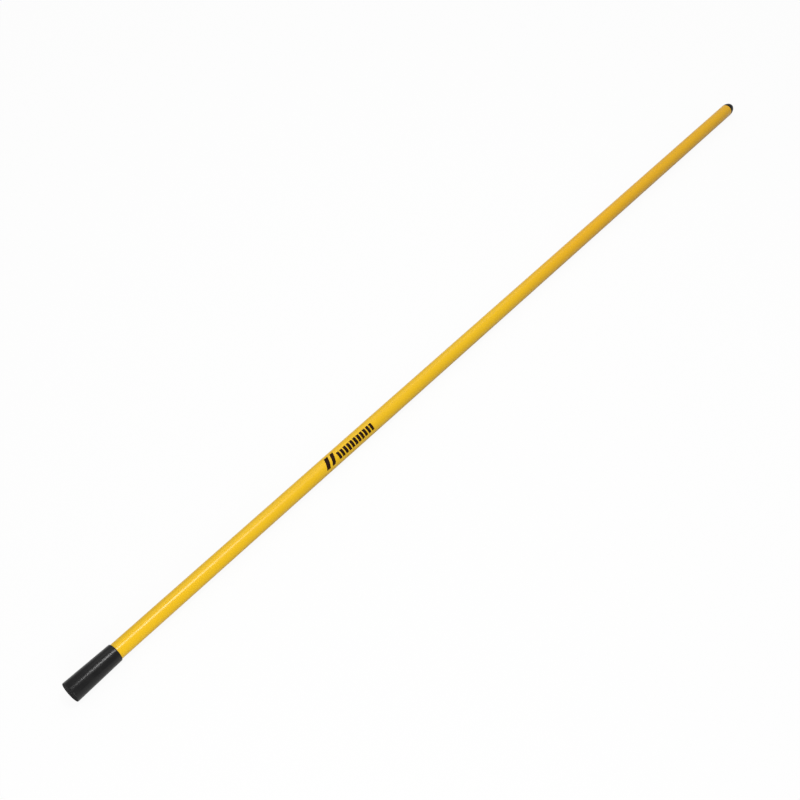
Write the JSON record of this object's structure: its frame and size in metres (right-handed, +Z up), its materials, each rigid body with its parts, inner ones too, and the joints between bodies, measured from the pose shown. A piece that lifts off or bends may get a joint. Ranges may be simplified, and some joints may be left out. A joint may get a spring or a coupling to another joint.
{
  "type": "roller extension pole",
  "caption": "Straight fixed-length pole that extends the reach of a paint roller: plastic-coated steel tube with a closed grip boot and a rounded tip plug.",
  "frame": {"origin": "on the surface the pole lies on, midway along its length, straight below the tube's axis", "axes": "+X along the tube from the boot's sole to the tip plug's nose, +Z up, tube axis parallel to the surface at the height of the boot's base radius"},
  "size_m": [1.8, 0.0324, 0.0324],
  "materials": {
    "tube_steel": "cold-rolled welded strip, dull",
    "yellow_plastic": "smooth extruded skin, semi-gloss",
    "boot_plastic": "moulded, satin",
    "washer_steel": "zinc plated",
    "plug_plastic": "moulded, satin",
    "print_ink": "screen-printed ink film on the skin"
  },
  "bodies": {
    "root": {"steel_tube": "tube_steel", "plastic_skin": "yellow_plastic", "end_boot": "boot_plastic", "boot_washer": "washer_steel", "tip_plug": "plug_plastic"}
  },
  "joints": []
}
